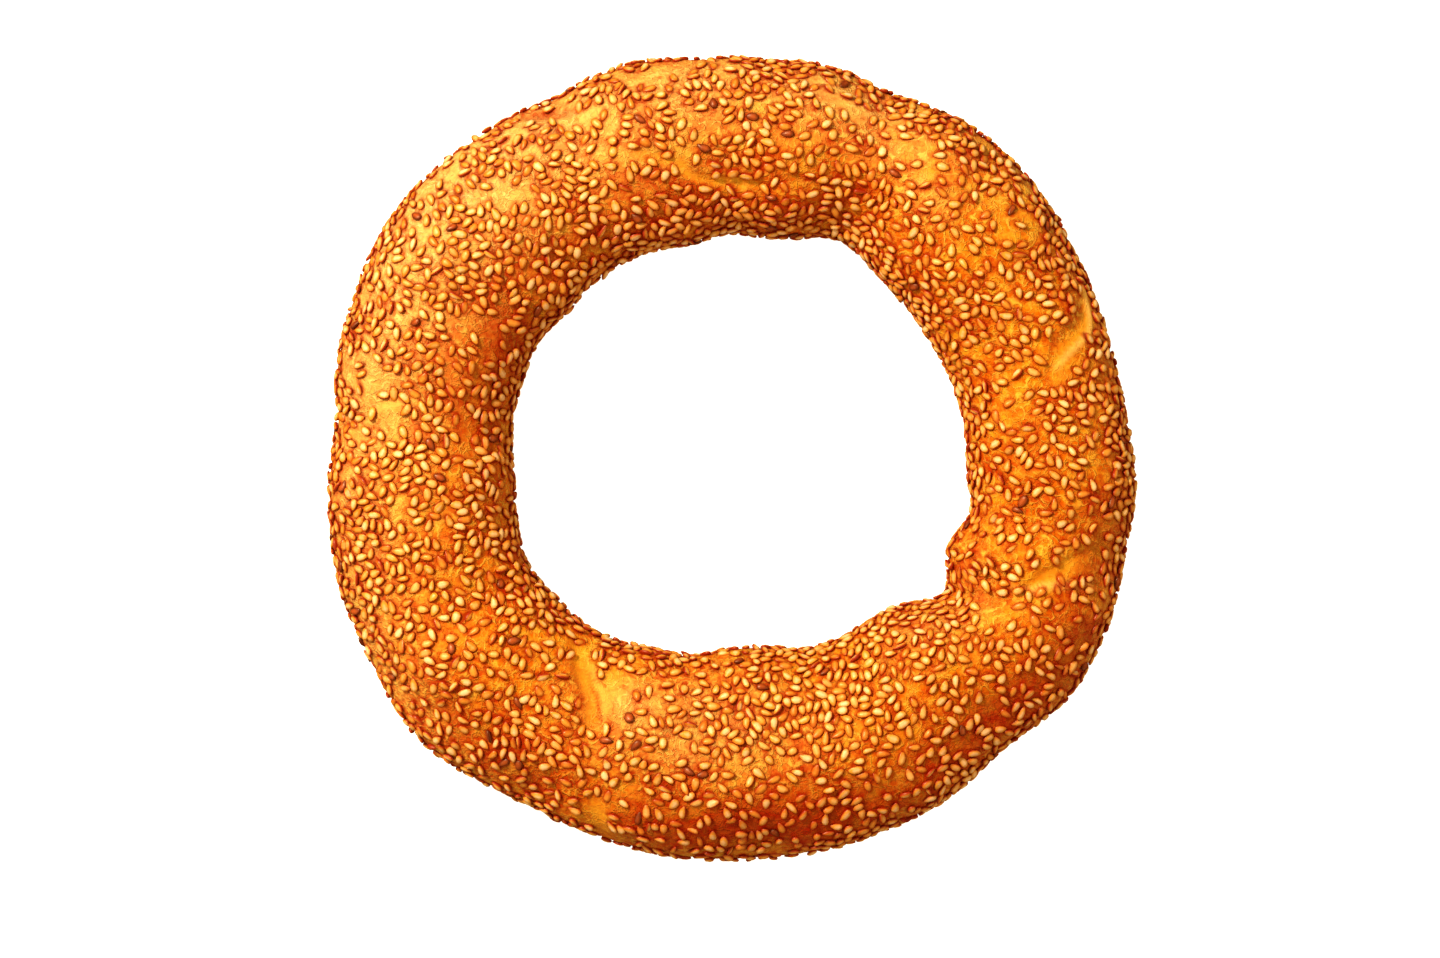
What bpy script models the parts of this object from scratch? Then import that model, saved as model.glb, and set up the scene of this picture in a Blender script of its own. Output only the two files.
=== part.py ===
"""A simit: a rope of bread dough, rolled by hand, closed into a ring and baked on a flat tray.

The ring lies flat on the XY plane. A bearing is an angle round the ring, in degrees from +X towards +Y.
A side is a place across the dough: 1 is its outer edge, 0 the top of its back and -1 its inner edge.
"""

import math

import bpy
import numpy as np

MM = 0.001

# The dough's size.
OUTER_RADIUS = 88.8 * MM
INNER_RADIUS = 49.4 * MM
CREST_HEIGHT = 28 * MM
WIDTH_OF_CREST_HEIGHT = 41 * MM
CREST_POWER = 0.6  # where the dough is wider it stands higher, by this power of its width
BELLY_SHARE = 0.42  # the height of the widest place, as a share of the crest's height
BASE_DROP = 1.5  # how far the round dough would reach below its widest place, in belly heights
BASE_SOFTNESS = 1.5 * MM  # half the height over which the side turns into the flat base

# Where the rolling left the edge further out or in: bearing, spread in degrees, and push in millimetres.
OUTER_SWELLS = (
    (15, 12, -0.8),
    (50, 14, 2.1),
    (67, 4, -0.6),
    (76, 5, 1.2),
    (105, 9, 1.5),
    (116, 4, -0.7),
    (143, 22, 3.6),
    (175, 5, -1.3),
    (210, 24, 3.3),
    (223, 8, 1.6),
    (240, 4, -0.8),
    (277, 28, 0.5),
    (314, 5, -1.2),
    (331, 14, 3.1),
    (354, 7, 1.0),
)
INNER_SWELLS = (
    (9, 28, 3.0),
    (48, 14, 1.5),
    (64, 10, 4.3),
    (90, 6, 0.5),
    (101, 7, -0.9),
    (118, 9, 0.6),
    (137, 5, -0.5),
    (151, 7, 1.1),
    (184, 9, -0.9),
    (207, 9, 1.5),
    (247, 12, -2.3),
    (274, 20, -7.4),
    (306, 13, -2.0),
    (328, 7, 6.3),
    (347, 7, 3.4),
)

# Folds where the skin of the dough was pinched or stretched. Each runs straight across the unrolled skin from one
# place to another: bearing, side, bearing, side, half width and depth in millimetres. The last number is the height
# of the lip along it: above nought it stands on the side of greater bearings, below nought on the other side.
FOLDS = (
    (329, -0.80, 334, -0.30, 3.8, 0.8, 0.0),
    (334, -0.30, 343, 0.72, 4.6, 1.2, 0.6),
    (12, 0.04, 25, 0.74, 4.4, 0.4, 0.3),
    (232, -0.70, 242, -0.12, 4.0, 1.1, 0.0),
    (243, -0.05, 251, 0.85, 4.4, 0.9, 0.0),
    (168, -0.05, 179, 0.95, 4.2, 0.9, 0.0),
    (109, 0.25, 123, 0.95, 4.2, 0.8, 0.0),
    (84, -0.36, 103, -0.05, 4.2, 0.9, 0.0),
    (60, -0.70, 66, 0.85, 6.5, 1.2, 0.0),
    (46, 0.15, 49, 0.55, 4.0, 0.9, 0.0),
)
MEAN_RADIUS = 70 * MM  # of the ring's middle line, for lengths along the unrolled skin
EDGE_REACH = 29 * MM  # from the crest to either edge, over the skin
LIP_PLACE = 1.7  # how far a lip stands from its fold's line, in half widths
FADE_START = 0.62  # the sides between which folds and lumps die away towards either edge
FADE_END = 1.0

# Soft unevenness of the whole skin.
LUMP_LENGTH = 34 * MM
LUMP_HEIGHT = 0.7 * MM
LUMP_WAVES = 12
LUMP_SPREAD = 0.5  # how much longer or shorter than the usual length a wave may be, as a share
LUMP_TURN = 1.7  # radians from one wave's length to the next one's

BEARING_STEPS = 160
SECTION_STEPS = 30
CRUST_COLOUR = (0.72, 0.27, 0.05, 1)
CRUST_ROUGHNESS = 0.45


def edge(bearing, radius, swells):
    """The radius of one edge: a round one with a bell curve added for each swell."""
    for centre, spread, push in swells:
        turn = (bearing - centre + 180) % 360 - 180
        radius = radius + push * MM * np.exp(-((turn / spread) ** 2))
    return radius


def fold_relief(bearing, side):
    """How far the folds push the skin in or out, from the distance to each fold's line on the unrolled skin."""
    relief = np.zeros_like(bearing)
    for start_bearing, start_side, end_bearing, end_side, half_width, depth, lip in FOLDS:
        along = np.radians((bearing - start_bearing + 180) % 360 - 180) * MEAN_RADIUS
        across = (side - start_side) * EDGE_REACH
        run = math.radians(end_bearing - start_bearing) * MEAN_RADIUS
        rise = (end_side - start_side) * EDGE_REACH
        length = math.hypot(run, rise)
        reach = half_width * MM
        forward = (along * run + across * rise) / length
        sideways = (along * rise - across * run) / length
        past_end = np.maximum(np.abs(forward - length / 2) - length / 2, 0)
        ends = np.exp(-((past_end / reach) ** 2))
        groove = np.exp(-((sideways / reach) ** 2))
        ridge = np.exp(-((sideways / reach - math.copysign(LIP_PLACE, lip)) ** 2))
        relief += ends * (abs(lip) * ridge - depth * groove) * MM
    return relief


def lump_relief(x, y, z):
    """Soft unevenness: plane waves whose directions follow a golden-angle spiral over a ball."""
    relief = np.zeros_like(x)
    golden = math.pi * (3 - math.sqrt(5))
    for wave in range(LUMP_WAVES):
        up = 1 - 2 * (wave + 0.5) / LUMP_WAVES
        level = math.sqrt(1 - up * up)
        distance = x * level * math.cos(wave * golden) + y * level * math.sin(wave * golden) + z * up
        stretch = 1 + LUMP_SPREAD * math.sin(wave * LUMP_TURN)
        relief += np.sin(math.tau * distance / (LUMP_LENGTH * stretch) + wave * wave)
    return relief * LUMP_HEIGHT / math.sqrt(LUMP_WAVES)


def edge_fade(side):
    """One over the dough's back and nought from its edges down, so that the swells alone shape the outline."""
    share = np.clip((FADE_END - np.abs(side)) / (FADE_END - FADE_START), 0, 1)
    return share * share * (3 - 2 * share)


def soft_floor(height):
    """Heights kept at or above zero, with a parabola where the side turns into the flat base."""
    blend = (height + BASE_SOFTNESS) ** 2 / (4 * BASE_SOFTNESS)
    return np.where(height > BASE_SOFTNESS, height, np.where(height < -BASE_SOFTNESS, 0, blend))


def skin_points(theta, phi):
    """The ring's skin: theta goes round the ring and phi round the dough, a quarter turn at its crest."""
    bearing = np.degrees(theta) % 360
    side = 1 - (np.degrees(phi) % 360) / 90
    side = np.where(side < -2, side + 4, side)
    outer = edge(bearing, OUTER_RADIUS, OUTER_SWELLS)
    inner = edge(bearing, INNER_RADIUS, INNER_SWELLS)
    middle = (outer + inner) / 2
    half_width = (outer - inner) / 2
    crest = CREST_HEIGHT * (2 * half_width / WIDTH_OF_CREST_HEIGHT) ** CREST_POWER
    belly = BELLY_SHARE * crest
    out = np.cos(phi)
    up = np.sin(phi)
    height = belly + np.where(up > 0, crest - belly, belly * BASE_DROP) * up
    radius = middle + half_width * out
    relief = fold_relief(bearing, side)
    relief += lump_relief(radius * np.cos(theta), radius * np.sin(theta), height)
    relief *= edge_fade(side)
    radius = radius + relief * out
    height = soft_floor(height + relief * up)
    return np.stack([radius * np.cos(theta), radius * np.sin(theta), height], axis=1)


def crust_material():
    material = bpy.data.materials.new("crust")
    material.use_nodes = True
    shader = material.node_tree.nodes["Principled BSDF"]
    shader.inputs["Base Color"].default_value = CRUST_COLOUR
    shader.inputs["Roughness"].default_value = CRUST_ROUGHNESS
    return material


def bread_ring(collection):
    """A torus with every point carried from its round place to its place on the dough's skin."""
    middle = (OUTER_RADIUS + INNER_RADIUS) / 2
    bpy.ops.mesh.primitive_torus_add(
        major_segments=BEARING_STEPS,
        minor_segments=SECTION_STEPS,
        major_radius=middle,
        minor_radius=(OUTER_RADIUS - INNER_RADIUS) / 2,
    )
    ring = bpy.context.object
    ring.name = "bread_ring"
    points = np.empty(len(ring.data.vertices) * 3)
    ring.data.vertices.foreach_get("co", points)
    x, y, z = points.reshape(-1, 3).T
    skin = skin_points(np.arctan2(y, x), np.arctan2(z, np.hypot(x, y) - middle))
    ring.data.vertices.foreach_set("co", skin.ravel())
    ring.data.update()
    ring.data.shade_smooth()
    ring.data.materials.append(crust_material())
    for owner in list(ring.users_collection):
        owner.objects.unlink(ring)
    collection.objects.link(ring)


def main():
    for item in list(bpy.data.objects):
        bpy.data.objects.remove(item)
    collection = bpy.data.collections.new("simit")
    bpy.context.scene.collection.children.link(collection)
    bread_ring(collection)


main()
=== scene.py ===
import math

import bpy
import numpy as np
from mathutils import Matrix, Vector


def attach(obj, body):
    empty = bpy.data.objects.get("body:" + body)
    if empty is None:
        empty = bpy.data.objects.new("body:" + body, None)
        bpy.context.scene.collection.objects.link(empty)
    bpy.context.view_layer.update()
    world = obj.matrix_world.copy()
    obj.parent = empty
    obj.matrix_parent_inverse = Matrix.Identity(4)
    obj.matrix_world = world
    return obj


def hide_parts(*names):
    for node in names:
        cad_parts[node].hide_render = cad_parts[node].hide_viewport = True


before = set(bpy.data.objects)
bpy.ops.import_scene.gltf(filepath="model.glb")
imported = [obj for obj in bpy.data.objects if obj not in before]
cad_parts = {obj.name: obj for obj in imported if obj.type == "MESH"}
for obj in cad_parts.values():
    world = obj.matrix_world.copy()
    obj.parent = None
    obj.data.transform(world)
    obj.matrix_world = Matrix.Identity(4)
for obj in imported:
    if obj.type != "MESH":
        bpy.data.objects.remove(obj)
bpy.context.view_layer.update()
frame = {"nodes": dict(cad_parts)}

# A simit: a hand-rolled ring of dough, dipped in grape syrup, rolled in sesame and baked on a flat tray.
#
# A bearing is an angle round the ring, in degrees from +X towards +Y. A side is a place across the dough: 1 is its
# outer edge, 0 the top of its back, -1 its inner edge, and 2 or -2 the middle of its underside.

mm = 0.001
print("frame loaded:", ", ".join(frame["nodes"]))


# ---- the dough's own shape

dough = {
    "outerRadius": 88.8,  # millimetres, as are all the lengths in the dictionaries
    "innerRadius": 49.4,
    "crestHeight": 28,
    "widthOfCrestHeight": 41,
    "crestPower": 0.6,  # where the dough is wider it stands higher
    "bellyShare": 0.42,  # height of the widest place, as a share of the crest's
    "baseDrop": 1.5,
    "baseSoftness": 1.5,
    "meanRadius": 70,
    "edgeReach": 29,
    "lipPlace": 1.7,
    "fadeStart": 0.62,  # the sides between which folds and lumps die away towards either edge
    "fadeEnd": 1.0,
    # bearing, spread in degrees, push
    "outerSwells": [
        (15, 12, -0.8), (50, 14, 2.1), (67, 4, -0.6), (76, 5, 1.2), (105, 9, 1.5),
        (116, 4, -0.7), (143, 22, 3.6), (175, 5, -1.3), (210, 24, 3.3), (223, 8, 1.6),
        (240, 4, -0.8), (277, 28, 0.5), (314, 5, -1.2), (331, 14, 3.1), (354, 7, 1.0),
    ],
    "innerSwells": [
        (9, 28, 3.0), (48, 14, 1.5), (64, 10, 4.3), (90, 6, 0.5), (101, 7, -0.9),
        (118, 9, 0.6), (137, 5, -0.5), (151, 7, 1.1), (184, 9, -0.9), (207, 9, 1.5),
        (247, 12, -2.3), (274, 20, -7.4), (306, 13, -2.0), (328, 7, 6.3), (347, 7, 3.4),
    ],
    # start bearing and side, end bearing and side, half width, depth, lip (positive towards greater bearings)
    "broadFolds": [
        (329, -0.80, 334, -0.30, 3.8, 0.8, 0.0),
        (334, -0.30, 343, 0.72, 4.6, 1.2, 0.6),
        (12, 0.04, 25, 0.74, 4.4, 0.4, 0.3),
        (232, -0.70, 242, -0.12, 4.0, 1.1, 0.0),
        (243, -0.05, 251, 0.85, 4.4, 0.9, 0.0),
        (168, -0.05, 179, 0.95, 4.2, 0.9, 0.0),
        (109, 0.25, 123, 0.95, 4.2, 0.8, 0.0),
        (84, -0.36, 103, -0.05, 4.2, 0.9, 0.0),
        (60, -0.70, 66, 0.85, 6.5, 1.2, 0.0),
        (46, 0.15, 49, 0.55, 4.0, 0.9, 0.0),
    ],
    "lumpLength": 34,
    "lumpHeight": 0.7,
    "lumpWaves": 12,
}


def bell(x):
    # exp(-x squared): 1 in the middle, next to nothing past 2
    return np.exp(-x * x)


def turnFrom(bearing, centre):
    # the shorter way round from centre, -180 to 180 degrees
    return (bearing - centre + 180) % 360 - 180


def edgeRadius(bearing, radius, swells):
    # a circle with a bell curve added for each swell
    for centre, spread, push in swells:
        radius = radius + push * bell(turnFrom(bearing, centre) / spread)
    return radius * mm


def broadRelief(bearing, side):
    # for each fold, a groove and a lip whose depth falls as a bell curve of the distance from the fold's line
    relief = np.zeros_like(bearing)
    for bearingA, sideA, bearingB, sideB, halfWidth, depth, lip in dough["broadFolds"]:
        along = np.radians(turnFrom(bearing, bearingA)) * dough["meanRadius"]
        across = (side - sideA) * dough["edgeReach"]
        run = math.radians(bearingB - bearingA) * dough["meanRadius"]
        rise = (sideB - sideA) * dough["edgeReach"]
        length = math.hypot(run, rise)
        forward = (along * run + across * rise) / length
        sideways = (along * rise - across * run) / length / halfWidth
        pastEnd = np.maximum(np.abs(forward - length / 2) - length / 2, 0) / halfWidth
        ridge = bell(sideways - math.copysign(dough["lipPlace"], lip))
        relief += bell(pastEnd) * (abs(lip) * ridge - depth * bell(sideways))
    return relief * mm


def slowLumps(x, y, z):
    # a sum of plane waves whose directions follow a golden-angle spiral over a ball
    relief = np.zeros_like(x)
    waves = dough["lumpWaves"]
    golden = math.pi * (3 - math.sqrt(5))
    for wave in range(waves):
        up = 1 - 2 * (wave + 0.5) / waves
        level = math.sqrt(1 - up * up)
        reach = x * level * math.cos(wave * golden) + y * level * math.sin(wave * golden) + z * up
        stretch = dough["lumpLength"] * mm * (1 + 0.5 * math.sin(wave * 1.7))
        relief += np.sin(math.tau * reach / stretch + wave * wave)
    return relief * dough["lumpHeight"] * mm / math.sqrt(waves)


def softFloor(height, soft):
    # heights kept above nought, with a parabola between -soft and soft
    return np.where(height > soft, height, np.where(height < -soft, 0, (height + soft) ** 2 / (4 * soft)))


def doughSkin(theta, phi):
    # an oval section, theta round the ring and phi round the dough (a quarter turn at the crest): its centre and
    # half width come from the two edges, its height from the width, and its lower half is cut off by the tray
    bearing = np.degrees(theta) % 360
    side = 1 - (np.degrees(phi) % 360) / 90
    side = np.where(side < -2, side + 4, side)
    outer = edgeRadius(bearing, dough["outerRadius"], dough["outerSwells"])
    inner = edgeRadius(bearing, dough["innerRadius"], dough["innerSwells"])
    middle = (outer + inner) / 2
    halfWidth = (outer - inner) / 2
    crest = dough["crestHeight"] * mm * (2 * halfWidth / (dough["widthOfCrestHeight"] * mm)) ** dough["crestPower"]
    belly = dough["bellyShare"] * crest
    out = np.cos(phi)
    up = np.sin(phi)
    height = belly + np.where(up > 0, crest - belly, belly * dough["baseDrop"]) * up
    radius = middle + halfWidth * out
    relief = broadRelief(bearing, side)
    relief += slowLumps(radius * np.cos(theta), radius * np.sin(theta), height)
    share = np.clip((dough["fadeEnd"] - np.abs(side)) / (dough["fadeEnd"] - dough["fadeStart"]), 0, 1)
    relief *= share * share * (3 - 2 * share)
    radius = radius + relief * out
    height = softFloor(height + relief * up, dough["baseSoftness"] * mm)
    return np.stack([radius * np.cos(theta), radius * np.sin(theta), height], axis=-1)


# ---- uneven fields, used for the skin's relief and for where the seeds crowd

def softNoise(points, size, seed):
    # heights from -1 to 1 drawn for the corners of a lattice of cubes, blended by a smooth step inside each cube
    place = points / size
    cell = np.floor(place).astype(np.int64)
    share = place - cell
    share = share * share * (3 - 2 * share)
    total = np.zeros(points.shape[:-1])
    for corner in range(8):
        step = np.array([corner & 1, corner >> 1 & 1, corner >> 2 & 1])
        spot = cell + step
        mixed = spot[..., 0] * 73856093 ^ spot[..., 1] * 19349663 ^ spot[..., 2] * 83492791 ^ seed * 26544357
        mixed = (mixed ^ mixed >> 13) * 1274126177 & 0x7FFFFFFF
        mixed = mixed ^ mixed >> 11
        weight = np.prod(np.where(step == 1, share, 1 - share), axis=-1)
        total += weight * ((mixed & 0xFFFF) / 32767.5 - 1)
    return total


def webNoise(points, size, seed):
    # thin ridges where two soft fields cross nought: 1 on a ridge, 0 between
    first = 1 - np.abs(softNoise(points, size, seed)) * 3
    second = 1 - np.abs(softNoise(points, size * 0.73, seed + 1)) * 3
    return np.clip(np.maximum(first, second), 0, 1)


# ---- the fine skin

crustSize = {
    "aroundSteps": 704,  # a multiple of four, because the skin is unrolled in quarters
    "acrossSteps": 142,
    "baseStretch": 1.3,  # how much longer the steps are under the base
    "seedRoom": 0.45,  # the skin lies this far inside the plain ring, to leave room for the seeds
    "underRoom": 0.3,
    "lumps": [(11, 0.30), (5.5, 0.16), (2.6, 0.07)],  # size, height
    "webSize": 2.3,
    "webHeight": 0.05,
}

# Narrow creases, each along a path of bearings and sides. Widths, depth and lip are in millimetres. wallHigh and
# wallLow stretch the valley's wall on the side of greater or smaller bearings, lipAt is the lip's distance from the
# path on the side of greater bearings, strip is half the width of the strip whose seeds are thin (bare), whose
# crust is pale, brown or painted with a highlight (ridge), and shift moves that strip. Pale is paler stretched skin;
# brown is partly browner crust and partly painted shade where a valley or a wall lies in shadow; ridge is a painted
# highlight along a crest, as if it caught the lamp.
plainCrease = {"half": 1.4, "depth": 0.0, "wallHigh": 1.0, "wallLow": 1.0, "lip": 0.0, "lipAt": 2.0, "lipHalf": 0.9,
               "strip": 1.5, "shift": 0.0, "bare": 0.0, "pale": 0.0, "ridge": 0.0, "brown": 0.0}
creases = [
    # the lapped end, lower right: its neck and the shadowed upper edge, both browned partly with painted shade, the
    # bare wedge, and the ridge below it with a painted highlight
    {"path": [(328.5, -0.90), (330.5, -0.50), (333.5, -0.18), (336.5, -0.02)], "half": 1.3, "depth": 0.7,
     "lip": 0.5, "bare": 0.5, "brown": 0.35},
    {"path": [(336.5, -0.05), (340, 0.06), (342.8, 0.17), (344.8, 0.28), (346.5, 0.46)], "half": 1.5,
     "depth": 0.75, "wallHigh": 0.6, "wallLow": 2.0, "brown": 0.25, "bare": 0.8},
    {"path": [(336.0, -0.08), (338.2, 0.03), (340.4, 0.13), (342.2, 0.24), (343.2, 0.36)],
     "strip": 2.2, "bare": 1.0, "pale": 0.75},
    {"path": [(335.0, -0.15), (335.9, -0.02), (337.6, 0.08), (338.9, 0.20), (339.9, 0.34), (340.7, 0.46)],
     "half": 0.9, "depth": -0.45, "strip": 0.9, "bare": 0.5, "pale": 0.95, "ridge": 0.8},
    # the stretched skin at the upper right: the bare band, the valley in it, browned partly with painted shade, and the
    # bright ridge, paler skin with a painted highlight along it
    {"path": [(26.0, 0.74), (22.4, 0.58), (20.2, 0.44), (19.2, 0.30), (16.6, 0.17), (12.6, 0.08)],
     "strip": 3.0, "bare": 1.0},
    {"path": [(26.2, 0.76), (22.0, 0.60), (19.6, 0.46), (18.4, 0.32), (16.0, 0.18), (12.0, 0.08)],
     "strip": 2.1, "pale": 0.90},
    {"path": [(25.0, 0.66), (22.0, 0.46), (20.6, 0.32), (18.6, 0.16), (14.0, 0.03)], "half": 1.7,
     "depth": 0.45, "wallHigh": 0.8, "wallLow": 1.4, "strip": 0.9, "shift": 0.7, "brown": 0.35},
    {"path": [(27.0, 0.82), (26.4, 0.75), (22.3, 0.63), (19.7, 0.54), (18.2, 0.38), (17.2, 0.26), (15.6, 0.13)],
     "half": 0.9, "depth": -0.45, "strip": 0.8, "pale": 0.95, "ridge": 0.9},
    # across the lower left: a smooth strip with a raised edge, and the bare skin further out; the brown strips beside
    # it are painted shade on its shadowed wall and at the foot of the raised edge, and the ridge strip is a painted
    # highlight on the lit edge
    {"path": [(230.5, -0.64), (233.5, -0.50), (236.8, -0.38), (240.0, -0.25), (242.6, -0.10)], "half": 1.6,
     "depth": 1.15, "wallHigh": 0.55, "wallLow": 1.5, "lip": 0.60, "lipAt": 1.9, "lipHalf": 0.8, "strip": 1.7,
     "shift": -0.8, "bare": 1.0, "pale": 0.85, "brown": 0.22},
    {"path": [(231.0, -0.60), (235.5, -0.43), (239.5, -0.28), (242.4, -0.12)], "strip": 0.8, "shift": -2.2,
     "bare": 0.5, "brown": 0.60},
    {"path": [(235.0, -0.46), (238.4, -0.33), (241.2, -0.22), (243.6, -0.06)], "strip": 0.5, "shift": 0.3,
     "brown": 0.75},
    {"path": [(235.0, -0.46), (238.0, -0.35), (241.0, -0.24), (243.6, -0.06)], "strip": 0.8, "shift": 1.6,
     "bare": 0.7, "pale": 0.6, "ridge": 0.35},
    {"path": [(242, -0.10), (244.5, 0.04), (246.2, 0.19), (248.8, 0.41)], "half": 1.2, "depth": 0.4,
     "strip": 1.2, "bare": 0.45, "brown": 0.15},
    {"path": [(248.8, 0.42), (249.8, 0.58), (251.2, 0.84)], "half": 2.0, "depth": 0.35, "strip": 2.0,
     "bare": 0.95, "pale": 0.75},
    # two bright streaks on the left side, paler skin with a painted highlight along them, with a wrinkle between them,
    # browned a little, partly with painted shade
    {"path": [(172.4, 0.36), (171.2, 0.20), (169.6, -0.04)], "half": 0.9, "depth": -0.35, "strip": 1.0,
     "bare": 0.95, "pale": 0.8, "ridge": 0.7},
    {"path": [(176.6, 0.70), (175.2, 0.52), (173.3, 0.33)], "half": 0.8, "depth": -0.35, "strip": 0.9,
     "bare": 0.9, "pale": 0.8, "ridge": 0.6},
    {"path": [(178.0, 0.74), (176.0, 0.50), (173.8, 0.26), (172.6, 0.06)], "half": 0.8, "depth": 0.35,
     "strip": 0.8, "bare": 0.5, "brown": 0.15},
    # the seam at the upper left
    {"path": [(122.5, 0.88), (119.5, 0.72), (116.5, 0.60), (113.5, 0.52)], "half": 1.1, "depth": 0.7,
     "lip": 0.45, "lipAt": -1.8, "strip": 1.5, "bare": 0.9, "brown": 0.75},
    {"path": [(115.4, 0.40), (112.4, 0.43), (109.4, 0.36)], "half": 1.4, "depth": -0.20, "strip": 1.2,
     "bare": 0.8, "ridge": 0.35},
    # the wavy fold on the inner side of the top, with a groove beyond it browned partly with painted shade
    {"path": [(108.0, 0.0), (101, -0.12), (97.5, -0.24), (90, -0.32), (83, -0.33)], "half": 1.5, "depth": 0.8,
     "wallHigh": 1.2, "wallLow": 0.8, "lip": 0.40, "lipAt": -2.2, "strip": 1.3, "bare": 0.8, "pale": 0.75},
    {"path": [(82.5, -0.20), (78.5, -0.26), (74.5, -0.24)], "half": 1.6, "depth": 0.45, "strip": 2.0,
     "bare": 0.35, "brown": 0.70},
    # a dark fold, browned partly with painted shade, and a bright ridge beside it, on the right
    {"path": [(357, -0.95), (359.2, -0.60), (360.7, -0.31), (363.2, 0.10)], "half": 1.2, "depth": 0.5,
     "strip": 1.2, "bare": 0.3, "brown": 0.45},
    {"path": [(356.4, -0.40), (356.8, -0.20), (358.0, 0.07)], "half": 0.9, "depth": -0.35, "strip": 1.0,
     "bare": 0.5, "pale": 0.5},
    # small pits and ridges of the stretched skin at the upper right of the top
    {"path": [(64, 0.40), (61, 0.26), (60, 0.08)], "half": 1.2, "depth": -0.30, "strip": 1.5, "bare": 0.5,
     "pale": 0.35},
    {"path": [(56.5, 0.30), (54.5, 0.12), (53.5, -0.08)], "half": 1.1, "depth": -0.25, "strip": 1.4, "bare": 0.4,
     "pale": 0.45},
]


def smoothPath(path, count):
    # a Catmull-Rom curve through the path's points, with count places on it
    knots = np.array([path[0]] + list(path) + [path[-1]], dtype=float)
    spot = np.linspace(0, len(path) - 1.0001, count)
    part = np.floor(spot).astype(int)
    t = (spot - part)[:, None]
    a, b, c, d = (knots[part + shift] for shift in range(4))
    return 0.5 * (2 * b + (c - a) * t + (2 * a - 5 * b + 4 * c - d) * t ** 2 + (3 * b - a - 3 * c + d) * t ** 3)


def besidePath(points, normals, path, reach):
    # for the points within reach of a path: which they are, how far to its side they lie, and how far along, 0 to 1
    course = smoothPath(path, 60)
    line = doughSkin(np.radians(course[:, 0]), np.radians(90 * (1 - course[:, 1])))
    ahead = np.gradient(line, axis=0)
    ahead /= np.linalg.norm(ahead, axis=1, keepdims=True)
    near = np.all((points > line.min(0) - reach) & (points < line.max(0) + reach), axis=1).nonzero()[0]
    gap = points[near, None, :] - line[None, :, :]
    closest = np.argmin((gap ** 2).sum(2), axis=1)
    offset = gap[np.arange(len(near)), closest]
    along = (offset * ahead[closest]).sum(1)
    across = (offset * np.cross(normals[near], ahead[closest])).sum(1)
    pastEnd = np.where((closest == 0) | (closest == len(line) - 1), np.abs(along), 0)
    return near, across, pastEnd, closest / (len(line) - 1)


def gridNormals(points):
    # the cross product of the two directions of the grid, which closes on itself both ways
    around = np.roll(points, -1, 0) - np.roll(points, 1, 0)
    across = np.roll(points, -1, 1) - np.roll(points, 1, 1)
    normals = np.cross(around, across)
    return normals / np.linalg.norm(normals, axis=2, keepdims=True)


def sectionAngles():
    # angles round the section whose steps are longer under the base, found by adding up the wanted rate
    fine = np.linspace(0, math.tau, 3601)
    rate = 1 / (1 + crustSize["baseStretch"] * bell((fine - math.tau * 0.75) / 0.85))
    total = np.concatenate([[0], np.cumsum((rate[1:] + rate[:-1]) / 2)])
    steps = np.arange(crustSize["acrossSteps"]) / crustSize["acrossSteps"]
    return np.interp(steps, total / total[-1], fine)


def fineSkin():
    # the dough's skin, moved along its normals by soft lumps, a web of wrinkles and the creases
    theta = np.arange(crustSize["aroundSteps"]) / crustSize["aroundSteps"] * math.tau
    phi = sectionAngles()
    theta, phi = np.meshgrid(theta, phi, indexing="ij")
    points = doughSkin(theta, phi)
    normals = gridNormals(points)
    top = np.clip(points[..., 2] / (4 * mm), 0, 1)  # fades the relief out towards the tray
    move = np.full(theta.shape, -crustSize["seedRoom"])
    for number, (size, height) in enumerate(crustSize["lumps"]):
        move += height * softNoise(points, size * mm, 11 + number) * top
    move += crustSize["webHeight"] * webNoise(points, crustSize["webSize"] * mm, 31) * top
    flatPoints = points.reshape(-1, 3)
    flatNormals = normals.reshape(-1, 3)
    flatMove = move.reshape(-1)
    bare = np.zeros(flatMove.shape)
    pale = np.zeros(flatMove.shape)
    brown = np.zeros(flatMove.shape)
    ridge = np.zeros(flatMove.shape)
    for crease in creases:
        crease = {**plainCrease, **crease}
        reach = max(4 * crease["half"], 1.6 * crease["strip"]) * mm
        near, across, pastEnd, along = besidePath(flatPoints, flatNormals, crease["path"], reach)
        # a path that runs towards greater sides has its greater bearings on its left hand
        hand = 1 if crease["path"][-1][1] > crease["path"][0][1] else -1
        sideways = hand * across / mm
        ends = bell(pastEnd / mm / crease["half"]) * np.sin(math.pi * np.clip(0.08 + 0.84 * along, 0, 1)) ** 0.5
        wall = crease["half"] * np.where(sideways > 0, crease["wallHigh"], crease["wallLow"])
        flatMove[near] -= ends * crease["depth"] * bell(sideways / wall)
        flatMove[near] += ends * crease["lip"] * bell((sideways - crease["lipAt"]) / crease["lipHalf"])
        strip = ends * np.exp(-((sideways - crease["shift"]) / crease["strip"]) ** 4)
        for field, name in ((bare, "bare"), (pale, "pale"), (brown, "brown"), (ridge, "ridge")):
            field[near] = np.maximum(field[near], strip * crease[name])
    skin = points + normals * (move * mm)[..., None]
    nearTray = np.clip(1 - points[..., 2] / (3 * mm), 0, 1)
    skin[..., 2] = np.maximum(skin[..., 2], 0) + crustSize["underRoom"] * mm * nearTray
    return {"theta": theta, "phi": phi, "points": skin, "bare": bare.reshape(theta.shape),
            "pale": pale.reshape(theta.shape), "fold": brown.reshape(theta.shape), "ridge": ridge.reshape(theta.shape)}


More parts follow.
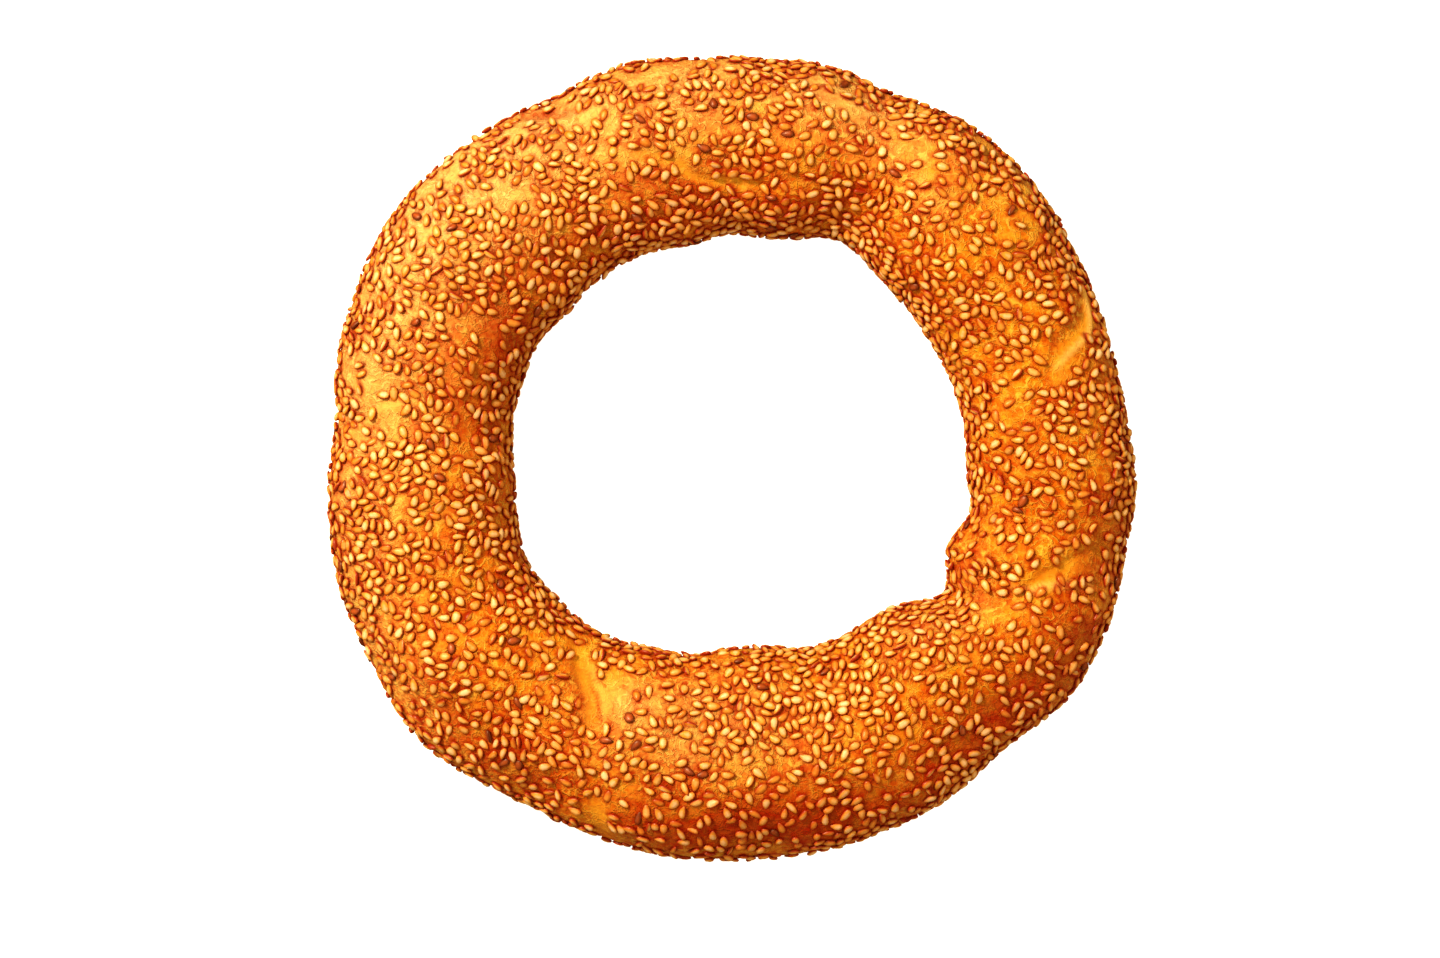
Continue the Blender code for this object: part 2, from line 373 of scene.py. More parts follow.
skin = fineSkin()
skin["normals"] = gridNormals(skin["points"])
skin["side"] = 1 - np.degrees(skin["phi"]) / 90
skin["side"] = np.where(skin["side"] < -2, skin["side"] + 4, skin["side"])
skin["bearing"] = np.degrees(skin["theta"])
print("skin worked out:", skin["points"].shape)


# ---- where the crust is browner, where it is paler, and where the seeds lie thick or thin

# bearing, spread in degrees, side, spread in sides, amount
brownZones = [
    (100, 34, -0.50, 0.40, 0.80), (158, 40, -0.50, 0.38, 0.78), (64, 16, -0.52, 0.38, 0.48),
    (206, 20, -0.66, 0.32, 0.30), (40, 14, -0.56, 0.34, 0.34), (12, 22, -0.46, 0.36, 0.20),
    (276, 34, 0.46, 0.34, 1.10), (318, 30, 0.44, 0.36, 1.00), (346, 18, 0.44, 0.30, 0.72),
    (234, 20, 0.40, 0.34, 0.70), (4, 14, 0.48, 0.25, 0.42), (26, 14, 0.45, 0.28, 0.30),
    (76, 9, -0.26, 0.24, 0.40), (34, 9, -0.15, 0.24, 0.30), (52, 6, 0.60, 0.18, 0.30),
    (300, 12, 0.10, 0.25, 0.30), (240, 10, 0.10, 0.24, 0.25), (324, 10, 0.06, 0.22, 0.30),
    (0, 10, -0.28, 0.27, 0.45), (228, 9, -0.42, 0.22, 0.30),
]
# the zone at bearing 5 on the outer rim is partly paler risen crust and partly painted light, lifting the rim where the
# lamps reach least and the seeds shade the crust
paleZones = [
    (140, 44, 0.44, 0.56, 0.95), (98, 18, 0.46, 0.44, 0.60), (184, 24, 0.48, 0.40, 0.52), (62, 8, 0.20, 0.25, 0.35),
    (54, 6, 0.02, 0.20, 0.30), (264, 22, -0.22, 0.32, 0.42), (249, 8, -0.28, 0.20, 0.55),
    (74, 20, 0.50, 0.42, 0.55), (202, 20, 0.66, 0.32, 0.42), (5, 62, 0.92, 0.25, 0.42), (320, 14, -0.50, 0.25, 0.25),
]
baseBrown = 0.38  # how brown the underside is
# here the amounts add up: above nought the seeds lie thicker, below nought thinner
seedZones = [
    (300, 48, 0.40, 0.32, -0.42), (62, 7, 0.22, 0.18, -0.30), (247, 7, -0.28, 0.20, -0.50),
    (100.5, 3, 0.72, 0.12, -0.90), (14, 14, -0.34, 0.22, -0.22), (112, 6, 0.36, 0.15, -0.40),
    (90, 50, -0.78, 0.32, 0.40), (178, 50, -0.34, 0.18, -0.28), (302, 34, -0.42, 0.32, 0.20),
    (342, 18, -0.36, 0.22, 0.15), (20, 24, 0.34, 0.20, -0.12), (180, 22, 0.34, 0.20, -0.28),
    (60, 18, 0.38, 0.18, -0.15), (130, 50, 0.85, 0.36, -0.24), (260, 24, 0.80, 0.36, -0.24),
    (5, 30, 0.80, 0.30, 0.15),
]
seedLaying = {
    "onTop": 0.119,  # seeds on a square millimetre
    "under": 0.070,
    "rimExtra": 0.26,
    "rimSides": (0.98, -0.98),
    "rimSpread": 0.22,
    "clumpSize": 6,
    "clumpAmount": 0.14,
    "discSpace": 1.62,  # two discs stand for a seed while the seeds push each other apart
    "discOffset": 0.62,
    "rounds": 40,
    "evenReach": 5.5,  # seeds nearer than this drift apart a little as well
    "evenPush": 0.003,
}


def zoneFields(zones):
    # each zone's amount times an oval bell curve round its own bearing and side
    return [amount * bell(np.hypot(turnFrom(skin["bearing"], bearing) / spread, (skin["side"] - side) / sideSpread))
            for bearing, spread, side, sideSpread, amount in zones]


def cellAreas(points):
    # the area of the parallelogram between each point's two forward neighbours
    around = np.roll(points, -1, 0) - points
    across = np.roll(points, -1, 1) - points
    return np.linalg.norm(np.cross(around, across), axis=2)


def seedDensity():
    # seeds on a square metre: the top's or the base's share, more at the rims, clumped, and none on bare creases
    height = skin["points"][..., 2]
    under = (np.abs(skin["side"]) > 1.35) & (height < 1.2 * mm)
    density = np.where(under, seedLaying["under"], seedLaying["onTop"]) / mm ** 2
    for side in seedLaying["rimSides"]:
        density = density * (1 + seedLaying["rimExtra"] * bell((skin["side"] - side) / seedLaying["rimSpread"]))
    clumps = softNoise(skin["points"], seedLaying["clumpSize"] * mm, 51)
    density = density * (1 + seedLaying["clumpAmount"] * clumps)
    density = density * np.clip(1 + np.sum(zoneFields(seedZones), axis=0), 0.05, None)
    return density * (1 - skin["bare"]) ** 2


def onSkin(field, i, j):
    # a field read between the grid's points, blended from the four corners of the cell
    rows, columns = field.shape[:2]
    i0 = np.floor(i).astype(int)
    j0 = np.floor(j).astype(int)
    extra = (None,) * (field.ndim - 2)
    a = (i - i0)[(...,) + extra]
    b = (j - j0)[(...,) + extra]
    i0, i1, j0, j1 = i0 % rows, (i0 + 1) % rows, j0 % columns, (j0 + 1) % columns
    return (1 - a) * ((1 - b) * field[i0, j0] + b * field[i0, j1]) + a * ((1 - b) * field[i1, j0] + b * field[i1, j1])


def seedFrames(i, j, heading):
    # place, the seed's long axis, its short axis and the skin's normal; the heading turns the long axis in the skin
    place = onSkin(skin["points"], i, j)
    up = onSkin(skin["normals"], i, j)
    up /= np.linalg.norm(up, axis=1, keepdims=True)
    around = onSkin(skin["around"], i, j)
    around -= up * (around * up).sum(1, keepdims=True)
    around /= np.linalg.norm(around, axis=1, keepdims=True)
    across = np.cross(up, around)
    turn = heading[:, None]
    return place, np.cos(turn) * around + np.sin(turn) * across, np.cos(turn) * across - np.sin(turn) * around, up


def nearPairs(places, reach):
    # the pairs of seeds closer than reach, each once
    square = (places ** 2).sum(1)
    apart = square[:, None] + square[None, :] - 2 * places @ places.T
    first, second = np.nonzero(apart < reach * reach)
    keep = first < second
    return first[keep], second[keep]


def spreadSeeds():
    # seeds thrown at random by density, then pushed apart where the two discs that stand for each overlap another's
    dice = np.random.default_rng(1453)
    weight = cellAreas(skin["points"]) * seedDensity()
    count = int(weight.sum())
    cells = dice.choice(weight.size, count, p=(weight / weight.sum()).ravel())
    i = cells // weight.shape[1] + dice.random(count)
    j = cells % weight.shape[1] + dice.random(count)
    heading = dice.random(count) * math.tau
    space = seedLaying["discSpace"] * mm
    offset = seedLaying["discOffset"] * mm
    for turn in range(seedLaying["rounds"]):
        place, long, short, up = seedFrames(i, j, heading)
        if turn % 8 == 0:
            first, second = nearPairs(place, 6.5 * mm)
        push = np.zeros((count, 3))
        twist = np.zeros(count)
        for endA in (-1, 1):
            for endB in (-1, 1):
                gap = place[first] + endA * offset * long[first] - place[second] - endB * offset * long[second]
                length = np.maximum(np.linalg.norm(gap, axis=1), 1e-6)
                shove = gap / length[:, None] * np.clip(space - length, 0, None)[:, None] * 0.22
                np.add.at(push, first, shove)
                np.add.at(push, second, -shove)
                np.add.at(twist, first, endA * (shove * short[first]).sum(1))
                np.add.at(twist, second, -endB * (shove * short[second]).sum(1))
        gap = place[first] - place[second]
        length = np.maximum(np.linalg.norm(gap, axis=1), 1e-6)
        drift = np.clip(seedLaying["evenReach"] * mm - length, 0, None) * seedLaying["evenPush"]
        np.add.at(push, first, gap / length[:, None] * drift[:, None])
        np.add.at(push, second, -gap / length[:, None] * drift[:, None])
        aroundStep = onSkin(skin["around"], i, j)
        acrossStep = onSkin(skin["across"], i, j)
        i = i + (push * aroundStep).sum(1) / (aroundStep ** 2).sum(1)
        j = j + (push * acrossStep).sum(1) / (acrossStep ** 2).sum(1)
        heading = heading + 0.5 * twist / offset
    # the few that drifted onto bare creases are left out
    kept = onSkin(skin["bare"], i, j) < dice.uniform(0.35, 0.75, count)
    return i[kept], j[kept], heading[kept]


skin["brown"] = np.maximum(np.max(zoneFields(brownZones), axis=0) * (1 - skin["pale"]), skin["fold"])
skin["brown"] = np.maximum(skin["brown"], baseBrown * np.clip((np.abs(skin["side"]) - 1.15) / 0.5, 0, 1))
skin["around"] = (np.roll(skin["points"], -1, 0) - np.roll(skin["points"], 1, 0)) / 2
skin["across"] = (np.roll(skin["points"], -1, 1) - np.roll(skin["points"], 1, 1)) / 2
seedI, seedJ, seedHeading = spreadSeeds()
print("seeds laid:", len(seedI))


# ---- making meshes

def newPiece(name, points, faces, material, cells, numbers):
    # a mesh from arrays: points, lists of faces, a place on the unrolled sheet for each corner, and named numbers
    mesh = bpy.data.meshes.new(name)
    mesh.from_pydata(points.tolist(), [], [face for group in faces for face in group.tolist()])
    sheet = mesh.uv_layers.new(name="OFBake")
    sheet.data.foreach_set("uv", np.concatenate([part.reshape(-1) for part in cells]).astype(np.float32))
    for label, values in numbers.items():
        layer = mesh.attributes.new(label, "FLOAT", "POINT")
        layer.data.foreach_set("value", values.reshape(-1).astype(np.float32))
    mesh.shade_smooth()
    mesh.materials.append(material)
    piece = bpy.data.objects.new(name, mesh)
    bpy.context.scene.collection.objects.link(piece)
    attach(piece, "root")
    return piece


def nodeTree(material):
    # short hands for adding nodes and joining them
    tree = material.node_tree

    def add(kind, **settings):
        node = tree.nodes.new(kind)
        for key, value in settings.items():
            setattr(node, key, value)
        return node

    def join(fromSocket, toSocket):
        tree.links.new(fromSocket, toSocket)

    return tree, add, join


# ---- materials

crustLook = {
    "deep": (0.55, 0.043, 0.0005),
    "mid": (0.69, 0.138, 0.0005),
    "gold": (0.80, 0.300, 0.010),
    "pale": (0.83, 0.455, 0.130),
    "golden": (0.80, 0.31, 0.014),
    "ridge": (0.95, 0.55, 0.15),
    "brown": (0.36, 0.0085, 0.0003),
    "foldShade": (0.44, 0.030, 0.0005),
    "web": (0.92, 0.49, 0.055),
    "paleWebHighlight": (0.93, 0.64, 0.27),
    "pore": (0.52, 0.065, 0.0005),
    "syrupAndShadeRing": (0.34, 0.006, 0.0003),
    "blotchSize": 9,  # millimetres
    "freckleSize": 2.4,
    "speckSize": 1.0,
    "grainSize": 0.55,
    "webSize": 1.5,
    "webLine": 0.14,  # half the width of a line, as a share of the web's cells
    "webSwirl": 1.8,
    "combSize": 5.5,
    "combLines": 7,  # contour lines from the noise's lowest to its highest
    "poreSize": 1.9,
    "foldShadeSize": 2.2,
    "roughLow": 0.40,
    "roughHigh": 0.60,
    "gleam": (1.0, 0.52, 0.08),
    "gleamLevel": 0.30,
}


def noiseNode(add, join, source, size, detail, roughness=0.55):
    # noise with features of about size millimetres
    node = add("ShaderNodeTexNoise")
    node.inputs["Scale"].default_value = 1 / (size * mm)
    node.inputs["Detail"].default_value = detail
    node.inputs["Roughness"].default_value = roughness
    join(source, node.inputs["Vector"])
    return node.outputs["Fac"]


def remapNode(add, join, source, low, high, newLow, newHigh):
    node = add("ShaderNodeMapRange")
    node.inputs["From Min"].default_value = low
    node.inputs["From Max"].default_value = high
    node.inputs["To Min"].default_value = newLow
    node.inputs["To Max"].default_value = newHigh
    join(source, node.inputs["Value"])
    return node.outputs["Result"]


def mixNode(add, join, share, first, second, way="MIX"):
    # a colour mix; a colour or a share may be a value or a socket
    node = add("ShaderNodeMix", data_type="RGBA", blend_type=way)
    for socket, value in ((node.inputs[0], share), (node.inputs[6], first), (node.inputs[7], second)):
        if isinstance(value, bpy.types.NodeSocket):
            join(value, socket)
        elif isinstance(value, tuple):
            socket.default_value = value + (1,)
        else:
            socket.default_value = value
    return node.outputs[2]


def mathNode(add, join, way, first, second):
    node = add("ShaderNodeMath", operation=way)
    for socket, value in ((node.inputs[0], first), (node.inputs[1], second)):
        if isinstance(value, bpy.types.NodeSocket):
            join(value, socket)
        else:
            socket.default_value = value
    return node.outputs[0]


def crustMaterial():
    material = bpy.data.materials.new("bakedCrust")
    material.use_nodes = True
    tree, add, join = nodeTree(material)
    shader = tree.nodes["Principled BSDF"]
    where = add("ShaderNodeTexCoord").outputs["Object"]
    blotch = noiseNode(add, join, where, crustLook["blotchSize"], 4)
    freckle = noiseNode(add, join, where, crustLook["freckleSize"], 3)
    grain = noiseNode(add, join, where, crustLook["grainSize"], 3, 0.6)
    speck = noiseNode(add, join, where, crustLook["speckSize"], 2)
    marks = {name: add("ShaderNodeAttribute", attribute_name=name).outputs["Fac"]
             for name in ("pale", "golden", "ridge", "brown", "syrupAndShadeRing", "web")}

    # the bake: deep orange to gold by the blotches, freckles and specks, then the paler and the browner zones
    tone = mathNode(add, join, "ADD", mathNode(add, join, "MULTIPLY", blotch, 0.42),
                    mathNode(add, join, "MULTIPLY", freckle, 0.34))
    tone = mathNode(add, join, "ADD", tone, mathNode(add, join, "MULTIPLY", speck, 0.24))
    tone = remapNode(add, join, tone, 0.40, 0.60, 0, 1)
    lower = mixNode(add, join, remapNode(add, join, tone, 0, 0.5, 0, 1), crustLook["deep"], crustLook["mid"])
    colour = mixNode(add, join, remapNode(add, join, tone, 0.5, 1, 0, 1), lower, crustLook["gold"])
    paler = mathNode(add, join, "MULTIPLY", marks["pale"], remapNode(add, join, tone, 0, 1, 0.55, 1.25))
    colour = mixNode(add, join, paler, colour, crustLook["pale"])
    golder = mathNode(add, join, "MULTIPLY", marks["golden"], remapNode(add, join, tone, 0, 1, 0.70, 1.0))
    colour = mixNode(add, join, golder, colour, crustLook["golden"])
    # browner crust from the zones, the underside and the creases; in the creases it is partly painted shade on shadowed
    # walls and valleys
    browner = mathNode(add, join, "MULTIPLY", marks["brown"], remapNode(add, join, tone, 0, 1, 1.15, 0.80))
    colour = mixNode(add, join, browner, colour, crustLook["brown"])
    # painted highlight: the crests of the crease ridges lightened as if they caught the lamp
    colour = mixNode(add, join, mathNode(add, join, "MULTIPLY", marks["ridge"], 0.8), colour, crustLook["ridge"])

    # fine wrinkles, strongest where little is browned: the edges of scattered cells, swirled by noise, and the
    # contour lines of a slower noise. Their lighter colour is a painted highlight on the wrinkle crests; the bump below
    # gives their relief.
    swirl = add("ShaderNodeTexNoise")
    swirl.inputs["Scale"].default_value = 1 / (crustLook["webSize"] * mm)
    swirl.inputs["Detail"].default_value = 2
    join(where, swirl.inputs["Vector"])
    swirled = add("ShaderNodeVectorMath", operation="MULTIPLY_ADD")
    join(swirl.outputs["Color"], swirled.inputs[0])
    swirled.inputs[1].default_value = (crustLook["webSwirl"] * mm,) * 3
    join(where, swirled.inputs[2])
    cells = add("ShaderNodeTexVoronoi", feature="DISTANCE_TO_EDGE")
    cells.inputs["Scale"].default_value = 1 / (crustLook["webSize"] * mm)
    join(swirled.outputs["Vector"], cells.inputs["Vector"])
    lines = remapNode(add, join, cells.outputs["Distance"], 0, crustLook["webLine"], 1, 0)
    patchy = remapNode(add, join, noiseNode(add, join, where, 4.5, 2), 0.42, 0.60, 0.10, 0.9)
    lines = mathNode(add, join, "MULTIPLY", lines, patchy)
    slow = noiseNode(add, join, swirled.outputs["Vector"], crustLook["combSize"], 1)
    comb = mathNode(add, join, "SINE", mathNode(add, join, "MULTIPLY", slow, crustLook["combLines"] * math.tau), 0)
    comb = mathNode(add, join, "MULTIPLY", remapNode(add, join, comb, 0.25, 1, 0, 1),
                    remapNode(add, join, noiseNode(add, join, where, 3.6, 2), 0.40, 0.55, 0, 1))
    lines = mathNode(add, join, "MAXIMUM", lines, comb)
    stretched = remapNode(add, join, marks["golden"], 0, 1, 1, 0.2)  # little of it where the skin is stretched smooth
    lines = mathNode(add, join, "MULTIPLY", lines, stretched)
    unbrowned = mathNode(add, join, "SUBTRACT", 1, marks["brown"])
    paintedWrinkleHighlight = mathNode(add, join, "MULTIPLY", lines, unbrowned)
    wrinkleHighlightColour = mixNode(add, join, marks["pale"], crustLook["web"], crustLook["paleWebHighlight"])
    colour = mixNode(add, join, mathNode(add, join, "MULTIPLY", paintedWrinkleHighlight, 0.80), colour, wrinkleHighlightColour)
    # a faint painted highlight along the ridges of the skin's own web of wrinkles
    colour = mixNode(add, join, mathNode(add, join, "MULTIPLY", marks["web"], 0.08), colour, wrinkleHighlightColour)

    # thin dark lines where a noise crosses its middle, in patches: painted shade in the folds of the wrinkles, which
    # the bump below also dents
    fold = mathNode(add, join, "SUBTRACT", noiseNode(add, join, swirled.outputs["Vector"], crustLook["foldShadeSize"], 2), 0.5)
    foldShade = remapNode(add, join, mathNode(add, join, "ABSOLUTE", fold, 0), 0.004, 0.026, 1, 0)
    foldShade = mathNode(add, join, "MULTIPLY", foldShade, remapNode(add, join, blotch, 0.42, 0.58, 0.8, 0.1))
    foldShade = mathNode(add, join, "MULTIPLY", foldShade, stretched)
    colour = mixNode(add, join, mathNode(add, join, "MULTIPLY", foldShade, 0.6), colour, crustLook["foldShade"])

    # dark pores: the middles of scattered cells
    pits = add("ShaderNodeTexVoronoi")
    pits.inputs["Scale"].default_value = 1 / (crustLook["poreSize"] * mm)
    join(swirled.outputs["Vector"], pits.inputs["Vector"])
    pore = remapNode(add, join, pits.outputs["Distance"], 0.10, 0.30, 1, 0)
    pore = mathNode(add, join, "MULTIPLY", pore, remapNode(add, join, freckle, 0.40, 0.60, 0.65, 0))
    pore = mathNode(add, join, "MULTIPLY", pore, stretched)
    colour = mixNode(add, join, pore, colour, crustLook["pore"])
    # the dark ring round each seed's foot: painted shade where the seed shades the crust, and syrup pooled there
    colour = mixNode(add, join, mathNode(add, join, "MULTIPLY", marks["syrupAndShadeRing"], 0.88), colour, crustLook["syrupAndShadeRing"])
    join(colour, shader.inputs["Base Color"])

    # glossier where the syrup pooled, rougher on the dry grain
    rough = remapNode(add, join, freckle, 0.35, 0.65, crustLook["roughLow"], crustLook["roughHigh"])
    join(rough, shader.inputs["Roughness"])
    shader.inputs["Specular IOR Level"].default_value = crustLook["gleamLevel"]
    shader.inputs["Specular Tint"].default_value = crustLook["gleam"] + (1,)

    coarse = add("ShaderNodeBump")
    coarse.inputs["Strength"].default_value = 0.6
    coarse.inputs["Distance"].default_value = 0.5 * mm
    join(freckle, coarse.inputs["Height"])
    wrinkle = add("ShaderNodeBump")
    wrinkle.inputs["Strength"].default_value = 0.9
    wrinkle.inputs["Distance"].default_value = 0.28 * mm
    dents = mathNode(add, join, "MULTIPLY", mathNode(add, join, "ADD", pore, foldShade), 0.6)
    join(mathNode(add, join, "SUBTRACT", lines, dents), wrinkle.inputs["Height"])
    join(coarse.outputs["Normal"], wrinkle.inputs["Normal"])
    fine = add("ShaderNodeBump")
    fine.inputs["Strength"].default_value = 0.4
    fine.inputs["Distance"].default_value = 0.18 * mm
    join(grain, fine.inputs["Height"])
    join(wrinkle.outputs["Normal"], fine.inputs["Normal"])
    join(fine.outputs["Normal"], shader.inputs["Normal"])
    return material


def seedMaterial(name, look):
    # hulled seed: its own shade from the tone, a painted highlight on its top, darker low down with painted shade and
    # the syrup that wets it, with faint grain
    material = bpy.data.materials.new(name)
    material.use_nodes = True
    tree, add, join = nodeTree(material)
    shader = tree.nodes["Principled BSDF"]
    where = add("ShaderNodeTexCoord").outputs["Object"]
    mottle = noiseNode(add, join, where, 1.1, 3)
    grain = noiseNode(add, join, where, 0.35, 2)
    tone = add("ShaderNodeAttribute", attribute_name="tone").outputs["Fac"]
    rise = add("ShaderNodeAttribute", attribute_name="rise").outputs["Fac"]
    # painted highlight: the top of each seed lighter, as if lit from above
    paintedTopHighlight = remapNode(add, join, rise, 0.82, 1.0, -0.45, 0.68)
    share = mathNode(add, join, "ADD", paintedTopHighlight, mathNode(add, join, "MULTIPLY", tone, 0.6))
    share = mathNode(add, join, "ADD", share, remapNode(add, join, mottle, 0.3, 0.7, -0.15, 0.15))
    colour = mixNode(add, join, share, look["dark"], look["light"])
    baked = add("ShaderNodeAttribute", attribute_name="baked").outputs["Fac"]
    colour = mixNode(add, join, mathNode(add, join, "MULTIPLY", baked, 0.30), colour, look["foot"])
    # the low band of each seed darker: painted shade where it turns under towards the crust, and the syrup that wets it
    syrupAndFootShade = remapNode(add, join, rise, 0.58, 0.84, look["syrupAndFootShade"], 0)
    colour = mixNode(add, join, syrupAndFootShade, colour, look["foot"])
    join(colour, shader.inputs["Base Color"])
    join(remapNode(add, join, mottle, 0.3, 0.7, look["rough"] - 0.06, look["rough"] + 0.08), shader.inputs["Roughness"])
    bump = add("ShaderNodeBump")
    bump.inputs["Strength"].default_value = 0.25
    bump.inputs["Distance"].default_value = 0.08 * mm
    join(grain, bump.inputs["Height"])
    join(bump.outputs["Normal"], shader.inputs["Normal"])
    shader.inputs["Specular Tint"].default_value = seedShape["gleam"] + (1,)
    shader.inputs["Specular IOR Level"].default_value = 0.62
    shader.inputs["Subsurface Weight"].default_value = look["inner"]
    shader.inputs["Subsurface Radius"].default_value = (1.0, 0.5, 0.2)
    shader.inputs["Subsurface Scale"].default_value = 0.6 * mm
    return material


# ---- the seeds

seedShape = {
    "rings": (0.09, 0.30, 0.60, 0.86),  # places along the seed, 0 at the round end and 1 at the point
    "sides": 8,
    "middle": 0.44,
    "length": 3.08,
    "width": 1.78,
    "thick": 1.0,
    "boxy": 0.75,  # below 1 flattens the seed's top
    "gleam": (1.0, 0.78, 0.62),
}

# share of the seeds, sink into the skin, and the look of each kind
seedKinds = {
    "paleSesame": {
        "share": 0.40, "sink": 0.10, "light": (0.92, 0.60, 0.36), "dark": (0.77, 0.31, 0.024),
        "foot": (0.35, 0.016, 0.0003), "syrupAndFootShade": 1.0, "rough": 0.42, "inner": 0.04},
    "goldenSesame": {
        "share": 0.40, "sink": 0.16, "light": (0.87, 0.47, 0.15), "dark": (0.69, 0.205, 0.007),
        "foot": (0.34, 0.015, 0.0003), "syrupAndFootShade": 1.0, "rough": 0.42, "inner": 0.03},
    "glazedSesame": {
        "share": 0.178, "sink": 0.40, "light": (0.80, 0.30, 0.032), "dark": (0.57, 0.12, 0.003),
        "foot": (0.34, 0.016, 0.0003), "syrupAndFootShade": 1.0, "rough": 0.40, "inner": 0.0},
    "toastedSesame": {
        "share": 0.022, "sink": 0.20, "light": (0.46, 0.07, 0.006), "dark": (0.22, 0.025, 0.002),
        "foot": (0.10, 0.010, 0.001), "syrupAndFootShade": 0.9, "rough": 0.42, "inner": 0.0},
}


def sesame(name, kind, chosen, dice):
    # a teardrop: along the seed the half width is the square root of the place times the rest to the 0.75, and
    # round it the height is a flattened sine; each seed is then carried to its place by its own three axes
    count = len(chosen)
    place, long, short, up = seedFrames(seedI[chosen], seedJ[chosen], seedHeading[chosen])
    length = seedShape["length"] * mm * dice.normal(1, 0.10, count).clip(0.72, 1.22)
    width = seedShape["width"] * mm * dice.normal(1, 0.11, count).clip(0.68, 1.22)
    thick = seedShape["thick"] * mm * dice.normal(1, 0.09, count).clip(0.75, 1.25)
    point = dice.uniform(0.62, 0.92, count)[:, None]
    pitch = np.radians(dice.normal(0, 8, count))
    roll = np.radians(dice.normal(0, 11, count))
    roll[dice.random(count) < 0.06] += math.radians(52)  # a few stand on edge
    bend = dice.normal(0, 0.10, count)
    lift = (0.5 - kind["sink"]) * thick + dice.normal(0, 0.05, count) * mm
    onTray = np.clip(1 - place[:, 2] / (1.2 * mm), 0, 1)
    lift = lift * (1 - onTray) + (-0.12 * mm) * onTray
    pitch *= 1 - onTray
    roll *= 1 - onTray
    # tilt the axes
    long, up = (long * np.cos(pitch)[:, None] + up * np.sin(pitch)[:, None],
                up * np.cos(pitch)[:, None] - long * np.sin(pitch)[:, None])
    short, up = (short * np.cos(roll)[:, None] + up * np.sin(roll)[:, None],
                 up * np.cos(roll)[:, None] - short * np.sin(roll)[:, None])
    place = place + up * lift[:, None]

    rings = np.array(seedShape["rings"])
    sides = seedShape["sides"]
    along = np.concatenate([[0], rings, [1]])
    spread = np.sqrt(along)[None, :] * (1 - along)[None, :] ** point
    spread /= spread.max(1, keepdims=True)
    angle = np.arange(sides) / sides * math.tau
    sine = np.sign(np.sin(angle)) * np.abs(np.sin(angle)) ** seedShape["boxy"]
    x = (along - seedShape["middle"]) * length[:, None]
    y = spread[:, :, None] * np.cos(angle) * (width / 2)[:, None, None]
    y = y + (bend[:, None] * x ** 2 / length[:, None] * 2)[:, :, None]
    z = spread[:, :, None] ** 0.8 * sine * (thick / 2)[:, None, None]
    body = (place[:, None, None, :] + x[:, :, None, None] * long[:, None, None, :]
            + y[..., None] * short[:, None, None, :] + z[..., None] * up[:, None, None, :])
    rise = 0.5 + z / thick[:, None, None]
    inner = body[:, 1:-1].reshape(count, -1, 3)
    points = np.concatenate([body[:, :1, 0], body[:, -1:, 0], inner], axis=1)  # two tips, then the rings
    points[..., 2] = np.maximum(points[..., 2], 0)
    rise = np.concatenate([rise[:, :1, 0], rise[:, -1:, 0], rise[:, 1:-1].reshape(count, -1)], axis=1)

    ringCount = len(rings)
    ring = np.arange(ringCount - 1)[:, None] * sides + 2
    side = np.arange(sides)[None, :]
    after = (side + 1) % sides
    walls = np.stack([ring + side, ring + sides + side, ring + sides + after, ring + after], -1).reshape(-1, 4)
    fanA = np.stack([np.zeros(sides, int), 2 + side[0], 2 + after[0]], -1)
    last = 2 + (ringCount - 1) * sides
    fanB = np.stack([np.ones(sides, int), last + after[0], last + side[0]], -1)
    stride = points.shape[1]
    shift = (np.arange(count) * stride)[:, None, None]
    quads = (walls[None] + shift).reshape(-1, 4)
    tris = (np.concatenate([fanA, fanB])[None] + shift).reshape(-1, 3)

    # each seed has its own cell on the sheet, its length across and its girth up
    cellsAcross = math.ceil(math.sqrt(count))
    corner = np.stack([np.arange(count) % cellsAcross, np.arange(count) // cellsAcross], -1)
    s = along[1:-1]
    sA = np.repeat(s[:-1], sides)
    sB = np.repeat(s[1:], sides)
    gA = np.tile(side[0] / sides, ringCount - 1)
    gB = gA + 1 / sides
    quadSheet = np.stack([np.stack([sA, gA], -1), np.stack([sB, gA], -1), np.stack([sB, gB], -1),
                          np.stack([sA, gB], -1)], 1)
    g = side[0] / sides
    first = np.full(sides, s[0])
    end = np.full(sides, s[-1])
    fanSheetA = np.stack([np.stack([0 * g, g + 0.5 / sides], -1), np.stack([first, g], -1),
                          np.stack([first, g + 1 / sides], -1)], 1)
    fanSheetB = np.stack([np.stack([0 * g + 1, g + 0.5 / sides], -1), np.stack([end, g + 1 / sides], -1),
                          np.stack([end, g], -1)], 1)
    fanSheet = np.concatenate([fanSheetA, fanSheetB])

    def inCell(part):
        return (corner[:, None, None, :] + 0.06 + 0.88 * part[None]) / cellsAcross

    tone = np.clip(dice.normal(0.5, 0.28, count), 0, 1)[:, None] * np.ones((1, stride))
    baked = onSkin(skin["brown"], seedI[chosen], seedJ[chosen])[:, None] * np.ones((1, stride))
    piece = newPiece(name, points.reshape(-1, 3), [quads, tris], seedMaterial(name, kind),
                     [inCell(quadSheet), inCell(fanSheet)], {"tone": tone, "rise": rise, "baked": baked})
    return piece


def layAllSesame():
    dice = np.random.default_rng(77)
    draw = dice.random(len(seedI))
    low = 0
    for name, kind in seedKinds.items():
        chosen = np.nonzero((draw >= low) & (draw < low + kind["share"]))[0]
        low += kind["share"]
        piece = sesame(name, kind, chosen, dice)
        print(name, len(chosen), "seeds,", len(piece.data.polygons), "faces")


layAllSesame()


# ---- the crust

